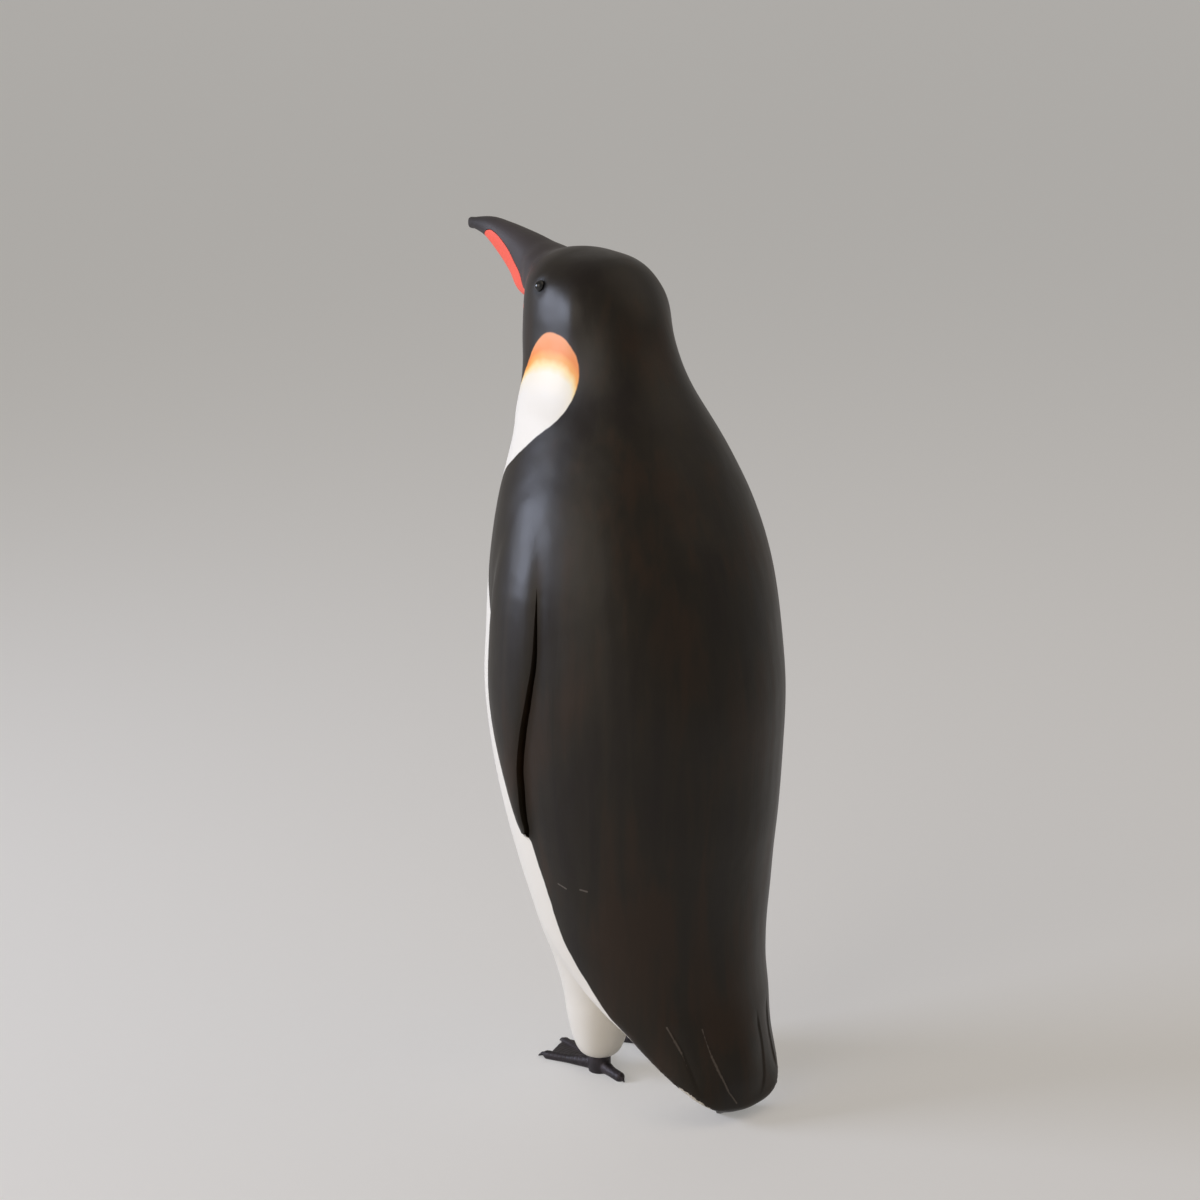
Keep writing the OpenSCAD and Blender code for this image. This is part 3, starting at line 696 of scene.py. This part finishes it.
# the crown is flattened a little behind the bill, and the cheeks are carved flatter than round
co, n = points_of(face), normals_of(face)
y, z = co[:, 1] / MM, co[:, 2] / MM
crown = -CROWN_DROP * ease((y + 30) / 8) * ease((6 - y) / 14) + NAPE_RISE * np.exp(-((y - 14) / 8) ** 2)
crown *= ease((z - 255) / 9)
cheek = swell(y, z, CHEEK) * n[:, 0] ** 2
valley = line_distance(to_left(co / MM), smooth_line(BROW))
valley = BROW_FILL * np.exp(-(valley / BROW_REACH) ** 2)
jaw = swell(y, z, JAW) * ease((0.4 - n[:, 2]) / 0.8) * ease((np.abs(co[:, 0]) / MM - 2) / 6)
co[:, 2] += crown * MM
co += n * ((jaw + valley) * MM)[:, None]
co[:, 0] += np.sign(co[:, 0]) * cheek * MM
move_points(face, co)

# the tip of the bill is rounded off
co = points_of(face) / MM
tip = np.clip(1 - (co[:, 1] - co[:, 1].min()) / TIP_ROUND, 0, 1)
shrink = np.sqrt(1 - 0.82 * tip**2)
middle = co[tip > 0, 2].mean()
co[:, 0] *= shrink
co[:, 2] = middle + (co[:, 2] - middle) * shrink
move_points(face, co * MM)

# near the joint the head's skin lies on the trunk's, as the two were sanded together
tree = BVHTree.FromObject(carved, bpy.context.evaluated_depsgraph_get())
co = points_of(face)
follow = ease((FOLLOW_FROM - co[:, 2] / MM) / (FOLLOW_FROM - FOLLOW_TO))
for i in np.nonzero(follow > 0)[0]:
    co[i] += (np.array(tree.find_nearest(co[i])[0]) - co[i]) * follow[i]
move_points(face, co)

# each eye is set in a shallow carved socket
co, n = points_of(face), normals_of(face)
away = np.linalg.norm(to_left(co) - np.array(EYE_PLACE), axis=1) / MM
socket = -SOCKET_DEPTH * np.exp(-(away / SOCKET_REACH) ** 2)
move_points(face, co + n * (socket * MM)[:, None])

head = copy_of(face, "head_and_neck")
slice_at(head, (0, 0, JOINT_Z), (0, 0, -1))
slice_at(head, (0, BILL_ROOT_Y, 0), (0, -1, 0))
skin_shading(head, face)
paint_zones(head)
co = points_of(head) / MM
gape = np.array(GAPE, float)
d = line_distance(co[:, 1:], gape)
set_attribute(head, "coral", np.where(inside(co[:, 1:], gape), d, -d))
dress(head, painted_limewood, "feather_paint", "head")

# ---- Bill ----
# Upper and lower bill are thin carved limewood, dowelled to the face. The upper one is painted
# dark grey and darkest at its tip, the lower one coral, with a fine carved line between them.

# Line of the mouth: distance ahead of the face and height above the bill's middle line, in mm
MOUTH_ROWS = [(-2, -6.5), (0, -4.4), (1.5, -2.8), (4, -0.5), (9, 2.6), (14, 5.8), (19.5, 8.8),
              (24, 10.6), (28, 11.2), (31, 9.8), (33, 7.0)]
MOUTH_GAP = 0.12            # half the width of the line between the two bills
BILL_Z = 258.5 * MM
BLOCK_X = 20 * MM           # the block reaches past the bill on each side, and below it


def mouth_block(name, lift):
    """A block that fills the space under the line of the mouth."""
    s = np.linspace(MOUTH_ROWS[0][0], MOUTH_ROWS[-1][0], 50)
    line = np.stack([BILL_ROOT_Y - s * MM, BILL_Z + (along(MOUTH_ROWS, 1, s) + lift) * MM], 1)
    floor_z = BILL_Z - BLOCK_X
    loop = np.concatenate([line, [[line[-1, 0], floor_z], [line[0, 0], floor_z]]])
    return extruded(name, np.column_stack([np.full(len(loop), -BLOCK_X), loop]), (2 * BLOCK_X, 0, 0))


def bill_piece(name):
    """What stands ahead of the face, for one bill to be cut from."""
    piece = copy_of(face, name)
    slice_at(piece, (0, BILL_ROOT_Y, 0), (0, 1, 0))
    return piece


upper_bill = bill_piece("upper_bill_carved")
tool = mouth_block("mouth", MOUTH_GAP)
cut(upper_bill, tool, "DIFFERENCE")
drop(tool)
skin_shading(upper_bill, face)
lower_bill = bill_piece("lower_bill_carved")
tool = mouth_block("mouth", -MOUTH_GAP)
cut(lower_bill, tool, "INTERSECT")
drop(tool)
skin_shading(lower_bill, face)
drop(carved, face)


def bill_paint(name, tip, root, root_y, tip_y, rough_low, rough_high, keel=None):
    """Satin acrylic brushed along the bill, shaded from the face to the tip: smoother than on the
    body, with finer brush lines."""
    m, t, out, place = new_material(name)
    bristles = add(t, "ShaderNodeMapping", {}, {"Vector": place, "Scale": scale_of(0.526, 8.33, 1.11)})
    strokes = add(t, "ShaderNodeTexNoise", {}, {"Vector": bristles, "Scale": 1.0, "Detail": 3.0})
    cover = add(t, "ShaderNodeTexNoise", {}, {"Vector": place, "Scale": 1 / (11.1 * MM), "Detail": 3.0})
    depth = add(t, "ShaderNodeSeparateXYZ", {}, {0: place}, "Y")
    depth = add(t, "ShaderNodeMapRange", SOFT_STEP, {"Value": depth, "From Min": tip_y, "From Max": root_y})
    shade = add(t, "ShaderNodeMath", {"operation": "MULTIPLY_ADD"}, {0: cover, 1: 0.3, 2: -0.15})
    shade = add(t, "ShaderNodeMath", {"operation": "ADD", "use_clamp": True}, {0: shade, 1: depth})
    colour = add(t, "ShaderNodeMix", LAID_OVER,
                 {"Factor": shade, "A": to_linear(tip), "B": to_linear(root)}, "Result")
    if keel:
        # the two coral plates leave a dark keel between them, and stop short of the throat
        side = add(t, "ShaderNodeSeparateXYZ", {}, {0: place}, "X")
        side = add(t, "ShaderNodeMath", {"operation": "ABSOLUTE"}, {0: side})
        side = add(t, "ShaderNodeMath", {"operation": "MULTIPLY_ADD"}, {0: cover, 1: 0.6 * MM, 2: side})
        bare = add(t, "ShaderNodeMapRange", {},
                   {"Value": side, "From Min": 1.9 * MM, "From Max": 1.5 * MM})
        height = add(t, "ShaderNodeSeparateXYZ", {}, {0: place}, "Z")
        low = add(t, "ShaderNodeMapRange", {},
                  {"Value": height, "From Min": 249.9 * MM, "From Max": 249.5 * MM})
        bare = add(t, "ShaderNodeMath", {"operation": "MAXIMUM"}, {0: bare, 1: low})
        colour = add(t, "ShaderNodeMix", LAID_OVER,
                     {"Factor": bare, "A": colour, "B": to_linear(keel)}, "Result")
    rough = add(t, "ShaderNodeMapRange", {}, {"Value": strokes, "To Min": rough_low, "To Max": rough_high})
    bump = add(t, "ShaderNodeBump", {}, {"Height": strokes, "Strength": 0.3, "Distance": 0.04 * MM})
    shader = add(t, "ShaderNodeBsdfPrincipled", {}, {
        "Base Color": colour, "Roughness": rough, "Normal": bump, "IOR": 1.5,
        "Specular IOR Level": 0.4})
    t.links.new(shader, out.inputs["Surface"])
    return m


grey_limewood = bill_paint("dark_grey_painted_limewood", "#241f20", FACE_GREY, -52 * MM, -68 * MM,
                           0.42, 0.56)
coral_limewood = bill_paint("coral_painted_limewood", "#f2604c", CORAL, -30 * MM, -62 * MM,
                            0.36, 0.48, keel=FACE_GREY)
dress(upper_bill, grey_limewood, "bill_paint", "upper_bill")
dress(lower_bill, coral_limewood, "coral_paint", "lower_bill")

# ---- Eyes ----
# Small round black glass beads, flame polished, each glued into its socket.


def black_glass():
    """Black flint glass, polished: nearly no colour of its own, and one sharp reflection."""
    m, t, out, place = new_material("black_glass")
    dust = add(t, "ShaderNodeTexNoise", {}, {"Vector": place, "Scale": 1 / (0.67 * MM), "Detail": 2.0})
    rough = add(t, "ShaderNodeMapRange", {}, {"Value": dust, "To Min": 0.03, "To Max": 0.09})
    shader = add(t, "ShaderNodeBsdfPrincipled", {}, {
        "Base Color": to_linear("#07080c"), "Roughness": rough, "IOR": 1.55})
    t.links.new(shader, out.inputs["Surface"])
    return m


glass = black_glass()
for side, name in ((1, "left_eye"), (-1, "right_eye")):
    low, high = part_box(name)
    bpy.ops.object.select_all(action="DESELECT")
    bpy.ops.mesh.primitive_uv_sphere_add(segments=40, ring_count=24, radius=EYE_R,
                                         location=(low + high) / 2)
    eye = bpy.context.object
    eye.name = name + "_bead"
    bpy.ops.object.transform_apply(location=True, rotation=True, scale=True)
    bpy.ops.object.shade_smooth()
    dress(eye, glass, "eye_glass", name)

# ---- Feet ----
# Two small webbed feet, cast in white metal and blackened, each with three toes forward and one
# back. A steel pin goes up from each ankle into the leg.


def blackened_casting():
    """Cast white metal under a dark patina: dull, finely pitted, and unevenly dark in soft clouds."""
    m, t, out, place = new_material("blackened_white_metal")
    pits = add(t, "ShaderNodeTexNoise", {}, {"Vector": place, "Scale": 1 / (0.71 * MM), "Detail": 4.0})
    clouds = add(t, "ShaderNodeTexNoise", {}, {"Vector": place, "Scale": 1 / (3.85 * MM), "Detail": 3.0})
    colour = add(t, "ShaderNodeValToRGB", {}, {0: clouds}, "Color", [(0.35, "#241f22"), (0.70, "#3b3439")])
    rough = add(t, "ShaderNodeMapRange", {}, {"Value": pits, "To Min": 0.42, "To Max": 0.62})
    bump = add(t, "ShaderNodeBump", {}, {"Height": pits, "Strength": 0.5, "Distance": 0.08 * MM})
    shader = add(t, "ShaderNodeBsdfPrincipled", {}, {
        "Base Color": colour, "Metallic": 0.35, "Roughness": rough, "Normal": bump})
    t.links.new(shader, out.inputs["Surface"])
    return m


# Toes of the left foot: angle from straight ahead, length without the claw, and length of the claw
TOES = [(24, 19.6, 3.4), (-8, 23, 3.8), (-31, 18.4, 3.2)]
HIND_TOE = (180, 10.6, 2.4)
LEG = Vector((14, 15, 0))
TOE_R, TOE_END_R, CLAW_R, CLAW_TIP_R = 2.2, 1.5, 0.95, 0.3
WEB_T = 1.2
ANKLE_R = 3.75
ANKLE_H = 6.2
SOLE_Z = 0.05
FOLD_DEPTH, FOLD_STEP = 0.07, 1.5
FOOT_GRID = 0.2 * MM
FOOT_RELAX_STEPS = 7


def rod(start, end, start_r, end_r):
    """A tapered rod with round ends, in millimetres."""
    start, end = Vector(start) * MM, Vector(end) * MM
    middle, way = (start + end) / 2, end - start
    bpy.ops.mesh.primitive_cone_add(vertices=24, radius1=start_r * MM, radius2=end_r * MM,
                                    depth=way.length, location=middle,
                                    rotation=way.to_track_quat("Z", "Y").to_euler())
    made = [bpy.context.object]
    for at, r in ((start, start_r), (end, end_r)):
        bpy.ops.mesh.primitive_uv_sphere_add(segments=24, ring_count=14, radius=r * MM, location=at)
        made.append(bpy.context.object)
    return made


def toe_point(angle, reach, height):
    a = math.radians(angle)
    return LEG + Vector((reach * math.sin(a), -reach * math.cos(a), height))


def web(corners):
    """The skin between toes: a thin plate through the ankle and these places."""
    return [extruded("web", np.array([c * MM for c in corners]), (0, 0, WEB_T * MM))]


def cast_foot(name):
    """The left foot, cast in one: rods and webs run together under one skin."""
    bpy.ops.object.select_all(action="DESELECT")
    made = rod(LEG + Vector((0, 0, 1)), LEG + Vector((0, 0, 8)), ANKLE_R, ANKLE_R)
    for angle, length, claw in TOES + [HIND_TOE]:
        blunt = 1.15 if angle == HIND_TOE[0] else 1.0
        knuckle = toe_point(angle, length * 0.62, 1.5)
        made += rod(toe_point(angle, 1, 2.4), knuckle, TOE_R + 0.3, TOE_END_R * blunt)
        made += rod(knuckle, toe_point(angle, length, 1.2), TOE_END_R * blunt, TOE_END_R * blunt)
        bend = toe_point(angle, length + claw * 0.6, 1.2)
        made += rod(toe_point(angle, length + 0.6, 1.5), bend, CLAW_R, CLAW_R * 0.7)
        made += rod(bend, toe_point(angle, length + claw, 0.35), CLAW_R * 0.7, CLAW_TIP_R)
    for (angle, length, _), (next_angle, next_length, _) in zip(TOES[:-1], TOES[1:]):
        middle = (angle + next_angle) / 2
        made += web([toe_point(middle, 1, 2.4), toe_point(angle, length * 1.02, 0.4),
                     toe_point(middle + (angle - middle) * 0.5, length * 1.0, 0.4),
                     toe_point(middle + (next_angle - middle) * 0.5, next_length * 0.96, 0.4),
                     toe_point(next_angle, next_length * 1.02, 0.4)])
    for o in made:
        alone(o)
        bpy.ops.object.transform_apply(location=True, rotation=True, scale=True)
    alone(*made)
    bpy.ops.object.join()
    foot = bpy.context.object
    foot.name = name
    apply_modifier(foot, "REMESH", mode="VOXEL", voxel_size=FOOT_GRID, adaptivity=0)
    foot = keep_outer(foot)
    relax(foot, np.ones(len(foot.data.vertices)), FOOT_RELAX_STEPS)
    slice_at(foot, (0, 0, SOLE_Z * MM), (0, 0, -1))
    slice_at(foot, (0, 0, ANKLE_H * MM), (0, 0, 1))
    # fine cross folds in the skin of the toes and webs
    co, n = points_of(foot) / MM, normals_of(foot)
    reach = np.hypot(co[:, 0] - LEG.x, co[:, 1] - LEG.y)
    fold = -FOLD_DEPTH * np.maximum(0, np.cos(reach * 2 * math.pi / FOLD_STEP)) ** 3
    fold *= ease((reach - ANKLE_R) / 2) * (n[:, 2] > 0.2)
    move_points(foot, (co + n * fold[:, None]) * MM)
    return foot


casting = blackened_casting()
left_foot = cast_foot("left_foot_casting")
right_foot = copy_of(left_foot, "right_foot_casting")
alone(right_foot)
bpy.ops.object.mode_set(mode="EDIT")
bpy.ops.mesh.select_all(action="SELECT")
bpy.ops.transform.resize(value=(-1, 1, 1), center_override=(0, 0, 0))
bpy.ops.mesh.flip_normals()
bpy.ops.object.mode_set(mode="OBJECT")
for foot, name in ((left_foot, "left_foot"), (right_foot, "right_foot")):
    alone(foot)
    bpy.ops.object.shade_smooth()
    dress(foot, casting, "foot_metal", name)

# ---- Dowels and pins ----
# Turned beech dowels and drawn steel pins, glued out of sight inside the joints.


def plain_rod(name, low, high, metallic, line_sizes):
    """Bare rod stock, its lines running along it."""
    m, t, out, place = new_material(name)
    drawn = add(t, "ShaderNodeMapping", {}, {"Vector": place, "Scale": scale_of(*line_sizes)})
    lines = add(t, "ShaderNodeTexNoise", {}, {"Vector": drawn, "Scale": 1.0, "Detail": 4.0})
    colour = add(t, "ShaderNodeValToRGB", {}, {0: lines}, "Color", [(0.0, low), (1.0, high)])
    rough = add(t, "ShaderNodeMapRange", {}, {"Value": lines, "To Min": 0.4, "To Max": 0.6})
    shader = add(t, "ShaderNodeBsdfPrincipled", {}, {
        "Base Color": colour, "Metallic": metallic, "Roughness": rough})
    t.links.new(shader, out.inputs["Surface"])
    return m


# grain of the beech and lines of the steel's die, across and along, in millimetres
upright_beech = plain_rod("turned_beech", "#b08a5c", "#d3b184", 0.0, (1.1, 1.1, 16.7))
drawn_steel = plain_rod("drawn_steel", "#8c8c90", "#b4b4b8", 1.0, (0.33, 0.33, 10))
for name, stock in (("neck_dowel", upright_beech), ("bill_dowel", upright_beech),
                    ("left_flipper_dowels", upright_beech), ("right_flipper_dowels", upright_beech),
                    ("left_leg_pin", drawn_steel), ("right_leg_pin", drawn_steel)):
    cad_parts[name].data.materials.clear()
    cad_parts[name].data.materials.append(stock)

# ---- Floor, light and camera ----
# A plain pale floor, a large soft window light from the bird's left and ahead, weaker light from the
# ceiling and the room, and the camera where the photograph was taken from: behind the bird and to
# its left, looking a little down.


def seen(tree, low, high):
    """A strength: one for the light that falls, another for what is seen or mirrored."""
    rays = [add(tree, "ShaderNodeLightPath", {}, {}, f"Is {kind} Ray")
            for kind in ("Camera", "Transmission", "Glossy")]
    mask = add(tree, "ShaderNodeMath", {"operation": "MAXIMUM"}, {0: rays[0], 1: rays[1]})
    mask = add(tree, "ShaderNodeMath", {"operation": "MAXIMUM"}, {0: mask, 1: rays[2]})
    return add(tree, "ShaderNodeMapRange", {}, {"Value": mask, "To Min": low, "To Max": high})


bpy.ops.object.select_all(action="DESELECT")
bpy.ops.mesh.primitive_plane_add(size=120, location=(0, 0, 0))
floor = bpy.context.object
floor.name = "floor"
floor_material, t, out, place = new_material("pale_floor")
speckle = add(t, "ShaderNodeTexNoise", {}, {"Vector": place, "Scale": 1 / (3.3 * MM), "Detail": 3.0})
rough = add(t, "ShaderNodeMapRange", {}, {"Value": speckle, "To Min": 0.6, "To Max": 0.75})
plain = add(t, "ShaderNodeBsdfPrincipled", {}, {"Base Color": to_linear("#cdcbc8"), "Roughness": rough})
# the far floor is seen as pale as the near one, and the object gets no light from this
glow = add(t, "ShaderNodeEmission", {}, {"Color": to_linear("#f2f1ef"), "Strength": seen(t, 0.0, 0.28)})
shader = add(t, "ShaderNodeAddShader", {}, {0: plain, 1: glow})
t.links.new(shader, out.inputs["Surface"])
floor.data.materials.append(floor_material)

scene = bpy.context.scene
scene.view_settings.view_transform = "Standard"
world = bpy.data.worlds.new("studio")
scene.world = world
world.use_nodes = True
# the room that lights the object, and the pale backdrop behind it
backdrop = world.node_tree.nodes["Background"]
backdrop.inputs["Color"].default_value = to_linear("#f2ece4")
world.node_tree.links.new(seen(world.node_tree, 0.24, 0.46), backdrop.inputs["Strength"])


def soft_light(name, place, target, size, power, colour):
    """A square area light at a place, turned to a target."""
    data = bpy.data.lights.new(name, "AREA")
    data.shape = "RECTANGLE"
    data.size, data.size_y = size
    data.energy = power
    data.color = to_linear(colour)[:3]
    light = bpy.data.objects.new(name, data)
    light.location = place
    light.rotation_euler = (Vector(place) - Vector(target)).to_track_quat("Z", "Y").to_euler()
    scene.collection.objects.link(light)


MIDDLE = (0, 0, 0.14)
# the window lamp aims high, so that it lights the figure and leaves the floor below it pale grey
soft_light("window", (0.86, -0.60, 0.50), (0, 0, 1.2), (0.5, 0.66), 14, "#dfe8ff")
soft_light("ceiling", (-0.55, 0.55, 1.25), MIDDLE, (1.2, 1.2), 2.2, "#ffe9cf")
soft_light("room", (1.05, 0.20, 0.55), MIDDLE, (0.8, 0.8), 3.5, "#fff2e2")

camera = bpy.data.objects.new("camera", bpy.data.cameras.new("camera"))
camera.location = (0.4940, 0.6296, 0.3543)
camera.rotation_euler = (math.radians(90 - 14), 0, math.radians(142))
camera.data.lens = 76.5
camera.data.sensor_width = 36
camera.data.clip_start = 0.01
scene.collection.objects.link(camera)
scene.camera = camera
